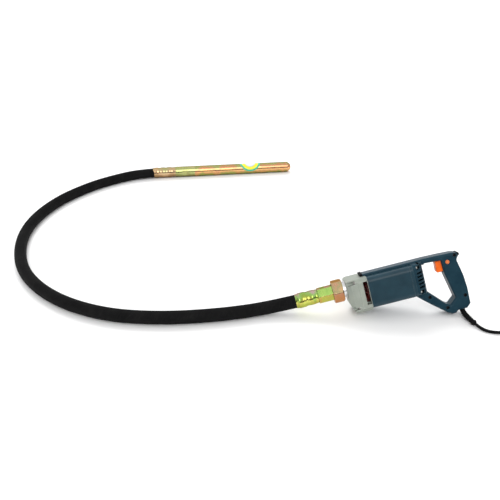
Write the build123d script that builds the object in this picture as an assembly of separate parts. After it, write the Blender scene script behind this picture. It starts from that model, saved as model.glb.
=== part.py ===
from build123d import *
from functools import lru_cache
import math
import os

# Hand-held electric concrete vibrator: a D-handle power unit, a flexible hose and a poker head.
# World frame, mm: +Z up, floor at z = 0, origin at the middle of the footprint of the rigid pieces.
# Unit frame: x along the motor axis towards the grip, y across the casing, z towards the spine.

# ---------------------------------------------------------------- driving dimensions
GAP = 0.3              # clearance between pieces that move against each other
RUN = 0.05             # radial clearance of a shaft in its bearing

# how the power unit stands: on its gear housing and on the heel of its grip
UNIT_LEAN = 21.0       # degrees back from upright, about the x axis
UNIT_PITCH = 14.6      # degrees nose down
UNIT_X = 183.7
UNIT_Y = -396.9

# motor housing
MOTOR_L = 104.0
MOTOR_HALF_W = 38.0
MOTOR_TOP = 34.0
MOTOR_BOTTOM = -38.0
MOTOR_BORE_R = 33.0
CORNER_R = 11.0

# gear housing and output
GEAR_L = 48.0
GEAR_HALF_W = 36.0
NOSE_HALF_W = 34.2     # ahead of the flange
GEAR_TOP = 35.0
GEAR_BOTTOM = -44.5
MODULE = 0.8
PINION_TEETH = 10
WHEEL_TEETH = 22
SPINDLE_Z = MODULE * (PINION_TEETH + WHEEL_TEETH) / 2      # 12.8 above the motor axis

# handle
HANDLE_HALF_W = 16.0
SPINE_HALF_W = 15.0
SPINE_START = -5.3
SHELL_T = 3.0
CAVITY_HALF_W = HANDLE_HALF_W - 3.2
CAP_END = 130.0

# coupling, hose and head
NUT_FLATS = 48.0
NUT_L = 24.0
NUT_X = -79.0
FITTING_X = -113.0
FITTING_FLATS = 33.0
FITTING_CORNER_R = 18.7
FERRULE_X = -166.0
HOSE_R = 15.5
HOSE_BORE_R = 10.0
CABLE_R = 6.5
HOSE_GRIP = 40.0       # length of hose inside each ferrule
HEAD_R = 17.5
HEAD_BORE_R = 14.0
HEAD_FERRULE_L = 77.0
HEAD_JOINT_L = 67.0
HEAD_TUBE_L = 323.0
HEAD_TIP_L = 16.0
HEAD_X = -422.5        # start of the head's ferrule on the floor
HEAD_Y = 388.0
HEAD_YAW = 6.98        # degrees, direction from ferrule to tip

# mains lead
LEAD_R = 3.5
COIL_X = 549.0
COIL_Y = -522.0
COIL_INNER_R = 26.0
COIL_OUTER_R = 54.0
COIL_H = 14.0
PLUG_X = 500.0
PLUG_Y = -573.0
PLUG_Z = 12.6


# ---------------------------------------------------------------- helpers
def rod(x0, x1, r, z=0.0, y=0.0):
    """Cylinder along x from x0 to x1."""
    plane = Plane(origin=(x0, y, z), x_dir=(0, 1, 0), z_dir=(1, 0, 0))
    return extrude(plane * Circle(r), x1 - x0)


def ring(x0, x1, outer, inner, z=0.0):
    """Hollow cylinder along x."""
    return rod(x0, x1, outer, z) - rod(x0 - 1, x1 + 1, inner, z)


def block(x0, x1, y0, y1, z0, z1):
    """Axis-aligned box between two corners."""
    place = Pos((x0 + x1) / 2, (y0 + y1) / 2, (z0 + z1) / 2)
    return place * Box(x1 - x0, y1 - y0, z1 - z0)


def cross_pin(x, z, y0, y1, r):
    """Cylinder along y at (x, z)."""
    plane = Plane(origin=(x, y0, z), x_dir=(1, 0, 0), z_dir=(0, 1, 0))
    return extrude(plane * Circle(r), y1 - y0)


def upright_rod(x, z0, z1, r):
    """Cylinder along z at (x, 0)."""
    return extrude(Plane(origin=(x, 0, z0)) * Circle(r), z1 - z0)


def side_slab(points, half_w, y0=None):
    """Outline in the x-z plane given thickness across y."""
    start = -half_w if y0 is None else y0
    plane = Plane(origin=(0, start, 0), x_dir=(1, 0, 0), z_dir=(0, -1, 0))
    face = make_face(Polyline(*points, close=True))
    return extrude(plane * face, -(half_w - start))


def plan_slab(points):
    """Tall slab with an outline in the unit's x-y plane."""
    outline = Polyline(*points, close=True)
    return extrude(Plane(origin=(0, 0, -60)) * make_face(outline), 120)


def rounded_bar(x0, x1, half_w, z0, z1, r):
    """Bar along x with a rounded rectangular section."""
    plane = Plane(origin=(x0, 0, (z0 + z1) / 2), x_dir=(0, 1, 0), z_dir=(1, 0, 0))
    return extrude(plane * RectangleRounded(2 * half_w, z1 - z0, r), x1 - x0)


def hex_bar(x0, x1, flats, z=0.0):
    """Hexagon bar along x with two corners pointing along y."""
    plane = Plane(origin=(x0, 0, z), x_dir=(0, 1, 0), z_dir=(1, 0, 0))
    return extrude(plane * RegularPolygon(flats / 2, 6, major_radius=False), x1 - x0)


def turned(points, z=0.0):
    """Solid of revolution about the x direction at height z, from (x, radius) points."""
    plane = Plane(origin=(0, 0, z), x_dir=(1, 0, 0), z_dir=(0, -1, 0))
    face = make_face(plane * Polyline(*points, close=True))
    return revolve(face, Axis((0, 0, z), (1, 0, 0)), 360)


def gear_blank(teeth, root, tip, x0, x1, z, phase):
    """Straight toothed wheel along x with tapered teeth."""
    body = rod(x0, x1, root, z)
    half_root = 0.30 * MODULE * math.pi
    half_tip = 0.13 * MODULE * math.pi
    plane = Plane(origin=(x0, 0, z), x_dir=(0, 1, 0), z_dir=(1, 0, 0))
    outline = [(root - 0.4, -half_root), (tip, -half_tip), (tip, half_tip), (root - 0.4, half_root)]
    tooth = make_face(Polyline(*outline, close=True))
    for index in range(teeth):
        angle = phase + index * 360.0 / teeth
        body += extrude(plane * (Rot(0, 0, angle) * tooth), x1 - x0)
    return body


def screw(x, y, z, head_r, head_l, shank_r, shank_l):
    """Cap screw along x, its head ending at x and its shank running on to +x."""
    head = rod(x - head_l, x, head_r, z, y)
    slot = block(x - head_l - 1, x - head_l + 1.2, y - head_r, y + head_r, z - 0.6, z + 0.6)
    return head + rod(x, x + shank_l, shank_r, z, y) - slot


def tube_path(points, name):
    """Straight runs joined by tangent arcs as large as the runs allow."""
    spots = [Vector(*p) for p in points]
    radii = []
    for before, corner, after in zip(spots, spots[1:], spots[2:]):
        turn = math.radians((corner - before).get_angle(after - corner))
        shorter = min((corner - before).length, (after - corner).length)
        radii.append(0.45 * shorter / math.tan(turn / 2))
    print(name, "radii", [round(r, 1) for r in radii])
    return FilletPolyline(*spots, radius=radii)


def tube(points, outer, name, inner=0.0):
    """Round tube or bar along a route."""
    path = tube_path(points, name)
    start = Plane(origin=path @ 0, z_dir=path % 0)
    body = sweep(start * Circle(outer), path=path)
    if inner > 0:
        body -= sweep(start * Circle(inner), path=path)
    section = math.pi * (outer ** 2 - inner ** 2)
    print(name, "length", round(path.length, 1), "volume ratio", round(body.volume / (section * path.length), 4))
    return body


# ---------------------------------------------------------------- placing
def unit_frame(height):
    """Location of the unit frame, leaning back and nose down."""
    lean = math.radians(UNIT_LEAN)
    pitch = math.radians(UNIT_PITCH)
    x_dir = (math.cos(pitch), math.sin(lean) * math.sin(pitch), math.cos(lean) * math.sin(pitch))
    z_dir = (-math.sin(pitch), math.sin(lean) * math.cos(pitch), math.cos(lean) * math.cos(pitch))
    return Plane(origin=(UNIT_X, UNIT_Y, height), x_dir=x_dir, z_dir=z_dir).location


HEAD_FRAME = Pos(HEAD_X, HEAD_Y, HEAD_R) * Rot(0, 0, HEAD_YAW)


# ---------------------------------------------------------------- gear end
GEAR_SCREWS = [(side * 30.0, z) for side in (-1, 1) for z in (28.0, -31.0)]
PLATE_X0 = -20.0
PLATE_X1 = -12.0


def gear_housing():
    front = [(0, GEAR_BOTTOM), (0, GEAR_TOP), (-GEAR_L + 8, GEAR_TOP), (-GEAR_L, GEAR_TOP - 3),
             (-GEAR_L, -19), (-43.5, -32), (-36, GEAR_BOTTOM)]
    body = side_slab(front, GEAR_HALF_W + 1)
    body &= rounded_bar(-GEAR_L, 0, GEAR_HALF_W, GEAR_BOTTOM, GEAR_TOP, CORNER_R)
    body &= rod(-GEAR_L, 0, 47.0, -3.0)
    half_plan = [(-GEAR_L, 24.5), (-37, NOSE_HALF_W), (-23, NOSE_HALF_W), (-21.5, GEAR_HALF_W), (1, GEAR_HALF_W)]
    body &= plan_slab(half_plan + [(x, -y) for x, y in reversed(half_plan)])
    body = fillet(body.faces().sort_by(Axis.X)[0].edges(), 2.5)
    # gear chamber, plate seat and fan chamber
    body -= rounded_bar(-44, PLATE_X0, 24, -24, 31, 8)
    body -= rounded_bar(PLATE_X0, -10, 30, -37, 30, 8)
    body -= rod(-10, 1, 32.0)
    body -= rod(-GEAR_L - 1, -43, 12.0, SPINDLE_Z)
    for side in (-1, 1):
        body -= Pos(0, side * 29, 0) * block(-11.4, -0.9, -9, 9, -27, 27)
    for y, z in GEAR_SCREWS:
        body -= rod(-GEAR_L - 1, -28, 5.0, z, y)
        body -= rod(-29, 1, 2.2, z, y)
    return body


def gear_housing_screws():
    return [screw(-28.0, y, z, 4.2, 4.0, 2.1, 50.0) for y, z in GEAR_SCREWS]


def bearing_plate():
    plate = rounded_bar(PLATE_X0, PLATE_X1, 29.9, -36.9, 29.9, 8)
    plate += rod(-26, PLATE_X0, 7.9, SPINDLE_Z)
    plate -= rod(PLATE_X0 - 1, PLATE_X1 + 1, 13.0)
    plate -= rod(-27, -20.5, 7.0, SPINDLE_Z)
    plate -= rod(-27, PLATE_X0, 5.6)
    for y, z in GEAR_SCREWS:
        plate -= rod(PLATE_X0 - 1, PLATE_X1 + 1, 6.0, z, y)
    return plate


def spindle_nose():
    """Threaded nose that takes the coupling nut, with a relief next to the housing."""
    nose = rod(-58, -48, 19.0, SPINDLE_Z) + rod(-71.7, -58, 20.9, SPINDLE_Z)
    for index in range(5):
        x = -70.2 + index * 2.4
        nose -= ring(x, x + 1.0, 22.0, 20.2, SPINDLE_Z)
    nose -= rod(-56, -47, 14.0, SPINDLE_Z)
    nose -= rod(-73, -56, 9.5, SPINDLE_Z)
    return nose


def spindle_bearing_front():
    return ring(-56, -48, 14.0, 6.0 + RUN, SPINDLE_Z)


def spindle_bearing_rear():
    return ring(-26, -20.5, 7.0, 4.0 + RUN, SPINDLE_Z)


def output_spindle():
    shaft = rod(-66, -45, 6.0, SPINDLE_Z) + rod(-45, -28, 5.5, SPINDLE_Z) + rod(-28, -20.8, 4.0, SPINDLE_Z)
    shaft += rod(-68, -57, 8.0, SPINDLE_Z)
    shaft -= block(-69, -60, -3.5, 3.5, SPINDLE_Z - 3.5, SPINDLE_Z + 3.5)
    return shaft


def output_gear():
    phase = -90.0 + 180.0 / WHEEL_TEETH
    wheel = gear_blank(WHEEL_TEETH, 7.5, 9.3, -40, -30, SPINDLE_Z, phase)
    return wheel - rod(-41, -29, 5.5, SPINDLE_Z)


# ---------------------------------------------------------------- motor
BRUSH_X = 92.0
COMMUTATOR_R = 12.0


def motor_housing():
    body = rounded_bar(0, MOTOR_L, MOTOR_HALF_W, MOTOR_BOTTOM, MOTOR_TOP, CORNER_R)
    band = rounded_bar(MOTOR_L - 8, MOTOR_L - 6.8, MOTOR_HALF_W + 1, MOTOR_BOTTOM - 1, MOTOR_TOP + 1, CORNER_R)
    band -= rounded_bar(MOTOR_L - 9, MOTOR_L - 6, MOTOR_HALF_W - 0.7, MOTOR_BOTTOM + 0.7, MOTOR_TOP - 0.7, CORNER_R)
    body -= band
    body -= rod(-1, MOTOR_L + 1, 31.4)
    hollow = rounded_bar(26, 88, MOTOR_HALF_W - 3, MOTOR_BOTTOM + 3, MOTOR_TOP - 3, CORNER_R - 3)
    for x in (28, 58):
        hollow -= rounded_bar(x, x + 6, MOTOR_HALF_W, MOTOR_BOTTOM, MOTOR_TOP, CORNER_R)
    body -= hollow
    for y, z in GEAR_SCREWS:
        body -= rod(-1, 24, 2.2, z, y)
    for y, z in CAP_SCREWS:
        body -= rod(MOTOR_L - 14, MOTOR_L + 1, 1.9, z, y)
    return body


CAP_SCREWS = [(side * 28.0, z) for side in (-1, 1) for z in (27.5, -29.0)]


STATOR_X = (16, 66)


def stator_core():
    """Laminated yoke with two poles, each a neck for its coil and a curved shoe."""
    x0, x1 = STATOR_X
    core = ring(x0, x1, 31.4, 27.0)
    core += ring(x0, x1, 27.5, 18.6) & block(x0, x1, -5.8, 5.8, -30, 30)
    core += ring(x0, x1, 20.2, 18.6) & block(x0, x1, -13, 13, -30, 30)
    return core


def field_coils():
    x0 = STATOR_X[0] - 0.5
    x1 = STATOR_X[1] + 0.5
    coils = []
    for side in (-1, 1):
        low = 20.6 if side > 0 else -26.6
        coil = block(x0 - 5.5, x1 + 5.5, -11.5, 11.5, low, low + 6) - block(x0, x1, -6, 6, low - 1, low + 7)
        coil &= rod(9, 73, 26.7)
        coils.append(coil)
    return coils


def armature_shaft():
    shaft = rod(-20.2, 112.8, 5.0 - RUN)
    shaft += gear_blank(PINION_TEETH, 2.9, 4.5, -42, -19, 0, 90.0)
    return shaft


def armature_core():
    core = rod(17, 65, 18.0)
    for index in range(12):
        angle = math.radians(index * 30 + 15)
        y = 16.6 * math.cos(angle)
        z = 16.6 * math.sin(angle)
        core -= rod(16, 66, 2.2, z, y)
    return core - rod(16, 66, 5.0)


def armature_windings():
    bars = []
    for x0, x1 in ((8, 17), (65, 76)):
        bars.append(turned([(x0, 5), (x0, 11), (x0 + 2.5, 14.5), (x1 - 2.5, 14.5), (x1, 11), (x1, 5)]))
    return bars


def commutator():
    drum = rod(82, 102, COMMUTATOR_R)
    for index in range(24):
        angle = math.radians(index * 15)
        y = COMMUTATOR_R * math.cos(angle)
        z = COMMUTATOR_R * math.sin(angle)
        drum -= rod(84, 103, 0.35, z, y)
    return drum + rod(79, 82, 13.5) - rod(78, 103, 5.0)


def fan():
    wheel = ring(-3.6, -2.0, 30.0, 5.0) + ring(-9.0, -2.0, 9.0, 5.0)
    blade = block(-9.0, -3.0, 8.5, 29.5, -0.7, 0.7)
    for index in range(12):
        wheel += Rot(index * 30, 0, 0) * blade
    return wheel - rod(-10, -1, 5.0)


def motor_bearing_front():
    return ring(-20, -12, 13.0, 5.0)


def motor_bearing_rear():
    return ring(105, 113, 11.0, 5.0)


def brush_holders():
    holders = []
    for side in (-1, 1):
        near = side * 13.5
        far = side * 31.0
        y0, y1 = min(near, far), max(near, far)
        tube_body = block(BRUSH_X - 6, BRUSH_X + 6, y0, y1, -5, 5)
        tube_body -= block(BRUSH_X - 4.3, BRUSH_X + 4.3, y0 - 1, y1 + 1, -3.3, 3.3)
        holders.append(tube_body)
    return holders


def carbon_brush(side):
    near = side * (COMMUTATOR_R + GAP)
    far = side * (COMMUTATOR_R + GAP + 10)
    return block(BRUSH_X - 4, BRUSH_X + 4, min(near, far), max(near, far), -3, 3)


def brush_spring(side):
    near = side * (COMMUTATOR_R + GAP + 10.4)
    far = side * 28.5
    plane = Plane(origin=(BRUSH_X, near, 0), x_dir=(1, 0, 0), z_dir=(0, side, 0))
    coil = extrude(plane * Circle(2.6), abs(far - near))
    coil -= extrude(plane * Circle(1.8), abs(far - near))
    return coil


# ---------------------------------------------------------------- handle
FOOT_Z = -102.6
OUTER = [(112, 39.5), (140, 39.5), (175, 38.5), (203, 37), (212, 35), (214.5, 27.5), (209, 19),
         (217.5, -20), (220.5, -50), (220.5, -88), (211, -97.5), (190, -97.5), (184, FOOT_Z),
         (175, FOOT_Z), (166, -97.5), (131, -68), (104, -43), (112, -34)]
OPENING = [(128, 28.5), (174, 26), (176, -6), (189.5, -67), (174, -81), (165, -75), (129, -36)]
CORNER_RADII = [((176, -6), 20), ((209, 19), 8), ((166, -97.5), 8), ((189.5, -67), 4), ((174, -81), 4),
                ((165, -75), 5), ((129, -36), 5), ((212, 35), 4), ((128, 28.5), 4),
                ((214.5, 27.5), 3), ((220.5, -88), 3), ((211, -97.5), 3), ((184, FOOT_Z), 2.5),
                ((175, FOOT_Z), 2.5), ((190, -97.5), 2), ((174, 26), 2)]
GRIP_EDGE_R = 4.8
SCREW_SPOTS = [(118.6, 32.2), (205.5, 31.0), (211.5, -66.0), (132.5, -51.0), (167.0, -85.0)]
TRIGGER_PIVOT = (177.0, 23.0)
LOCK_SPOT = (187.0, 19.5)


def cap_volume(margin):
    """Rear cap of the motor: full width at the housing, drawn in towards the grip."""
    half = 36.0 - margin
    end = CAP_END - margin
    body = rounded_bar(MOTOR_L, end, half, -36.5 + margin, 35.5 - margin, 10)
    plan = Plane(origin=(0, 0, -60))
    outline = Line((MOTOR_L, -half), (MOTOR_L, half)) + Line((MOTOR_L, half), (MOTOR_L + 5, half))
    outline += ThreePointArc((MOTOR_L + 5, half), (end - 6, half * 0.72), (end, half * 0.28))
    outline += Line((end, half * 0.28), (end, -half * 0.28))
    outline += ThreePointArc((end, -half * 0.28), (end - 6, -half * 0.72), (MOTOR_L + 5, -half))
    outline += Line((MOTOR_L + 5, -half), (MOTOR_L, -half))
    return body & extrude(plan * make_face(outline), 120)


@lru_cache(maxsize=None)
def handle_solid():
    """Grip, lower arm, spine and rear cap as one block, before it is hollowed and split."""
    body = side_slab(OUTER, HANDLE_HALF_W)
    body -= side_slab(OPENING, HANDLE_HALF_W + 2)
    for (x, z), radius in CORNER_RADII:
        corner = body.edges().filter_by(Axis.Y).sort_by_distance((x, 0, z))[0]
        body = fillet(corner, radius)
    body = fillet(body.faces().filter_by(Axis.Y).edges(), GRIP_EDGE_R)
    spine = rounded_bar(SPINE_START, 135, SPINE_HALF_W, 26, 39.5, 3.5)
    spine -= block(-20, 0, -40, 40, 20, GEAR_TOP + GAP)
    spine -= block(-1, MOTOR_L, -40, 40, 20, MOTOR_TOP)
    return body + spine + cap_volume(0)


def grip_cavity():
    """Hollow for the switch, the wiring and the brush gear."""
    hollow = cap_volume(SHELL_T) - block(90, 140, -40, 40, 32.5, 60)
    wires = side_slab([(114, 36.2), (200, 34.2), (208, 15), (214, -20), (217, -50), (217, -86), (209, -94),
                       (192, -94), (187, -84), (193, -66), (179.5, -6), (177.5, 29.5), (120, 31.5)],
                      CAVITY_HALF_W)
    arm = side_slab([(118, -40), (134, -51), (160, -79), (178, -90), (186, -94), (176, -94), (133, -64),
                     (114, -46)], CAVITY_HALF_W)
    return hollow + wires + arm


def handle_shell(side):
    shell = handle_solid() - grip_cavity()
    shell -= rod(MOTOR_L + 1, 113, 11.0)
    shell -= block(160, 181, -8.4, 8.4, -4, 28.5)
    shell += ring(105, 113, 14.0, 11.0)
    spokes = block(106, 112, -34, 34, -3, 3) + block(106, 112, -3, 3, -35, 33.5)
    shell += spokes - rod(105, 113, 12.5)
    shell += block(113.5, CAP_END - 1, -1.5, 1.5, -34, 32) & cap_volume(1)
    shell -= cross_pin(*TRIGGER_PIVOT, -12.6, 12.6, 1.5)
    for y, z in CAP_SCREWS:
        shell -= rod(MOTOR_L - 1, 112, 2.2, z, y)
        shell -= rod(111, 140, 4.6, z, y)
        shell -= block(111, 140, min(y, y * 1.5), max(y, y * 1.5), z - 4.6, z + 4.6)
    for x, z in SCREW_SPOTS:
        post = cross_pin(x, z, -HANDLE_HALF_W + 3, HANDLE_HALF_W - 3, 6.2) & handle_solid()
        shell += post
        shell -= cross_pin(x, z, -30, -8.0, 4.3)
        shell -= cross_pin(x, z, -30, HANDLE_HALF_W - 4, 1.7)
    shell -= cross_pin(*LOCK_SPOT, -30, -8, 5.0)
    shell -= block(194.5, 208.5, -7, 6.5, -100, -84)
    for index in range(5):
        z = 15.0 - index * 8.3
        shell -= block(110, 140, -40, -17, z - 2.6, z + 2.6)
        shell -= block(110, 140, 17, 40, z - 2.6, z + 2.6)
    keep = block(-50, 260, -60, 0, -150, 80) if side < 0 else block(-50, 260, 0, 60, -150, 80)
    return shell & keep


def handle_screws():
    screws = []
    for x, z in SCREW_SPOTS:
        body = cross_pin(x, z, -10.6, -8.0, 3.9) + cross_pin(x, z, -8.0, 11.0, 1.6)
        body -= block(x - 3.9, x + 3.9, -11, -9.6, z - 0.5, z + 0.5)
        screws.append(body)
    return screws


def cap_screws():
    screws = []
    for y, z in CAP_SCREWS:
        body = rod(92, 111, 1.8, z, y) + rod(111, 114.4, 4.1, z, y)
        screws.append(body - block(113.2, 115, y - 5, y + 5, z - 0.5, z + 0.5))
    return screws


def rear_bumper():
    return cross_pin(213.6, 30.6, -10, 10, 4.5) - handle_solid()


def spine_bumper():
    return rounded_bar(SPINE_START - 6.2, SPINE_START, SPINE_HALF_W, GEAR_TOP + GAP, 41.0, 2.6)


def switch_body():
    return block(184.5, 206, -9, 9, -14, 12)


def trigger():
    x, z = TRIGGER_PIVOT
    shape = side_slab([(161.5, 25.6), (174, 25.2), (181, 26.5), (180, 2), (172, -1.5), (163, -1.5), (160.8, 1.5)],
                      8.0)
    shape = chamfer(shape.faces().filter_by(Axis.Y).edges(), 1.0)
    shape &= block(150, 180.0, -9, 9, -5, 40)
    return shape - cross_pin(x, z, -10, 10, 1.6)


def trigger_pin():
    x, z = TRIGGER_PIVOT
    return cross_pin(x, z, -12.6, 12.6, 1.5)


def lock_button():
    cap = cross_pin(*LOCK_SPOT, -18.5, -10.5, 4.7)
    cap = fillet(cap.edges().group_by(Axis.Y)[0], 1.2)
    return cap


def cord_clamp():
    """Bar that pinches the lead inside the heel of the grip."""
    return block(194, 208, -8, 8, -80, -76) - upright_rod(201, -81, -75, 3.0)


def inner_lead():
    """The lead inside the grip, from the sleeve up to the switch."""
    return upright_rod(201, -84.4, -14, 3.0)


# ---------------------------------------------------------------- coupling
def coupling_nut():
    nut = hex_bar(NUT_X, NUT_X + NUT_L, NUT_FLATS, SPINDLE_Z)
    nut &= turned([(NUT_X, 0), (NUT_X, 24.6), (NUT_X + 2.2, 27.2), (NUT_X + NUT_L - 3.2, 27.2),
                   (NUT_X + NUT_L, 24.2), (NUT_X + NUT_L, 0)], SPINDLE_Z)
    nut -= rod(NUT_X - 1, NUT_X + 10, 19.1, SPINDLE_Z)
    nut -= rod(NUT_X + 3, NUT_X + NUT_L + 1, 21.3, SPINDLE_Z)
    return nut


def thrust_ring():
    return ring(NUT_X + 3.3, NUT_X + 4.5, 20.9, 19.1, SPINDLE_Z)


def hose_fitting():
    body = hex_bar(FITTING_X, -74.2, FITTING_FLATS, SPINDLE_Z) & rod(FITTING_X, -74.2, FITTING_CORNER_R, SPINDLE_Z)
    body += rod(-74.2, -71.7, 20.7, SPINDLE_Z)
    return body - rod(FITTING_X - 1, -70, 9.5, SPINDLE_Z)


def ferrule_profile(length):
    """Crimped sleeve: two bulges with a waist between, a plain neck and a rolled mouth."""
    return [(0, 16.3), (4, 16.6), (8, 17.7), (21, 17.7), (25, 16.4), (29, 16.4), (33, 17.0), (42, 17.0),
            (46, 16.2), (length, 15.8)]


def motor_ferrule():
    length = FITTING_X - FERRULE_X
    profile = [(FERRULE_X + s, r) for s, r in ferrule_profile(length)]
    body = turned([(FERRULE_X, 0)] + profile + [(FITTING_X, 0)], SPINDLE_Z)
    body -= rod(FERRULE_X - 1, FERRULE_X + HOSE_GRIP, HOSE_R + RUN, SPINDLE_Z)
    return body - rod(FERRULE_X, FITTING_X + 1, 9.5, SPINDLE_Z)


def drive_tang():
    """Square-ended core fitting that turns with the spindle."""
    tang = rod(FERRULE_X + HOSE_GRIP + 0.5, -68.4, 7.0, SPINDLE_Z)
    tang += block(-69, -60.4, -3.3, 3.3, SPINDLE_Z - 3.3, SPINDLE_Z + 3.3)
    return tang


# ---------------------------------------------------------------- head, along its own x axis
JOINT_X = HEAD_FERRULE_L
TUBE_X = JOINT_X + HEAD_JOINT_L
TIP_X = TUBE_X + HEAD_TUBE_L


def head_ferrule():
    profile = [(0, 16.2), (3, 16.4), (7, 17.4), (16, 17.4), (20, 16.4), (25, 16.4), (29, 17.4), (38, 17.4),
               (42, 16.4), (47, 16.4), (51, 17.4), (60, 17.4), (64, 16.4), (HEAD_FERRULE_L, 16.4)]
    body = turned([(0, 0)] + profile + [(HEAD_FERRULE_L, 0)])
    body -= rod(-1, HOSE_GRIP, HOSE_R + RUN)
    return body - rod(0, HEAD_FERRULE_L + 1, 9.5)


def head_joint():
    body = turned([(JOINT_X, 0), (JOINT_X, 16.5), (JOINT_X + 2, HEAD_R), (TUBE_X, HEAD_R), (TUBE_X, 0)])
    body += rod(TUBE_X, TUBE_X + 14, HEAD_BORE_R)
    for side in (-1, 1):
        body -= Pos(0, side * 17.7, 0) * block(JOINT_X + 24, JOINT_X + 42, -2.5, 2.5, -20, 20)
    return body - rod(JOINT_X - 1, TUBE_X + 15, 9.5)


def head_tube():
    body = ring(TUBE_X, TIP_X, HEAD_R, HEAD_BORE_R)
    return body


def head_tip():
    body = turned([(TIP_X - 12, 0), (TIP_X - 12, HEAD_BORE_R), (TIP_X, HEAD_BORE_R), (TIP_X, HEAD_R),
                   (TIP_X + 5, HEAD_R), (TIP_X + HEAD_TIP_L - 2, 10.5), (TIP_X + HEAD_TIP_L, 8), (TIP_X + HEAD_TIP_L, 0)])
    return body


REAR_BEARING_X = TUBE_X + 24
FRONT_BEARING_X = TIP_X - 30


def head_bearings():
    return [ring(x, x + 10, HEAD_BORE_R, 6.0) for x in (REAR_BEARING_X, REAR_BEARING_X + 11, FRONT_BEARING_X)]


def head_seal():
    return ring(TUBE_X + 15, TUBE_X + 22, HEAD_BORE_R, 6.2)


def bearing_spacer():
    return ring(REAR_BEARING_X + 22, REAR_BEARING_X + 30, HEAD_BORE_R, 11.5)


def eccentric_shaft():
    """Rotor with half its section cut away, so that its weight lies off the axis."""
    shaft = rod(JOINT_X + 30, FRONT_BEARING_X + 11, 6.0 - RUN)
    rotor = rod(REAR_BEARING_X + 36, FRONT_BEARING_X - 6, 12.6)
    rotor -= block(REAR_BEARING_X + 46, FRONT_BEARING_X - 16, -20, 20, 1.5, 20)
    return shaft + rotor


def cable_end():
    return rod(HOSE_GRIP + 0.5, JOINT_X + 30, 7.0)


# ---------------------------------------------------------------- soft pieces, in the world frame
HOSE_ROUTE = [(-150.0, -441.0, 15.7), (-288.0, -458.0, 15.7),
              (-425.0, -446.0, 15.7), (-560.0, -380.0, 15.7), (-670.0, -264.0, 15.7), (-732.0, -112.0, 15.7),
              (-740.0, 28.0, 15.7), (-700.0, 163.0, 15.7), (-627.0, 267.0, 15.7), (-553.0, 331.0, 15.7)]
LEAD_ROUTE = [(420.0, -462.0, 6.9), (428.0, -476.0, 4.6), (443.0, -487.0, 3.7), (463.0, -491.0, 3.7),
              (488.0, -488.0, 3.7), (512.0, -479.0, 3.7), (534.0, -473.5, 4.0)]
TAIL_ROUTE = [(549.0, -569.0, 9.8), (534.0, -571.5, 10.0), (519.0, -573.0, 11.6), (505.0, -573.0, 12.6)]


def hose_points(unit):
    """The hose leaves the first ferrule along the spindle axis, then lies on the floor."""
    start = (unit * Pos(FERRULE_X + HOSE_GRIP, 0, SPINDLE_Z)).position
    second = (unit * Pos(FERRULE_X - 56, 0, SPINDLE_Z)).position
    end = (HEAD_FRAME * Pos(HOSE_GRIP, 0, 0)).position
    last = (HEAD_FRAME * Pos(-45, 0, 0)).position
    print("hose ends", start, second, last, end)
    return [start, second] + [Vector(*p) for p in HOSE_ROUTE] + [last, end]


def strain_relief(unit):
    """Rubber sleeve that turns from the heel of the grip to the floor."""
    root = (unit * Pos(201, 0, -84.5)).position
    mouth = (unit * Pos(201.5, -1, -105.5)).position
    points = [root, mouth, Vector(409.5, -440.0, 8.4), Vector(*LEAD_ROUTE[0])]
    path = tube_path(points, "strain relief")
    start = Plane(origin=path @ 0, z_dir=path % 0)
    sleeve = sweep(start * Circle(5.3), path=path)
    for index in range(7):
        along = 0.42 + index * 0.065
        rib = Plane(origin=path @ along, z_dir=path % along)
        sleeve += extrude(rib * Circle(6.2), 1.8)
    bead = Plane(origin=path @ 0.90, z_dir=path % 0.90)
    return sleeve + extrude(bead * Circle(6.6), 3.4)


def lead_coil():
    plane = Pos(COIL_X, COIL_Y, 0)
    body = plane * (extrude(Circle(COIL_OUTER_R), COIL_H) - extrude(Circle(COIL_INNER_R), COIL_H))
    return fillet(body.edges().filter_by(GeomType.CIRCLE), 3.0)


def coil_tie():
    """Strap looped once round the turns of the coil."""
    middle = (COIL_OUTER_R + COIL_INNER_R) / 2
    half = (COIL_OUTER_R - COIL_INNER_R) / 2
    inner = middle - half - 0.6
    loop = block(-5, 5, inner - 1.6, middle + half + 1.6, 0, COIL_H + 1.6)
    loop -= block(-6, 6, inner, middle + half, -1, COIL_H)
    return Pos(COIL_X, COIL_Y, 0) * (Rot(0, 0, -60) * loop)


def plug_frame():
    """Plug axis: x from the cord entry towards the pins."""
    return Pos(PLUG_X, PLUG_Y, PLUG_Z) * Rot(0, 0, 180)


def plug_body():
    section = Plane(origin=(0, 0, 0), x_dir=(0, 1, 0), z_dir=(1, 0, 0))
    grip = extrude(section * SlotOverall(34, 24), 34)
    grip = chamfer(grip.faces().sort_by(Axis.X)[0].edges(), 3.0)
    neck = rod(-5, 0.5, 5.0)
    return plug_frame() * (grip + neck)


def plug_pins():
    pins = []
    for side in (-1, 1):
        pin = rod(34, 53, 2.4, 0, side * 9.5)
        pins.append(plug_frame() * chamfer(pin.faces().sort_by(Axis.X)[-1].edges(), 0.8))
    return pins


# ---------------------------------------------------------------- build and export
def as_group(shapes):
    return Compound(children=list(shapes)) if isinstance(shapes, list) else shapes


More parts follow.
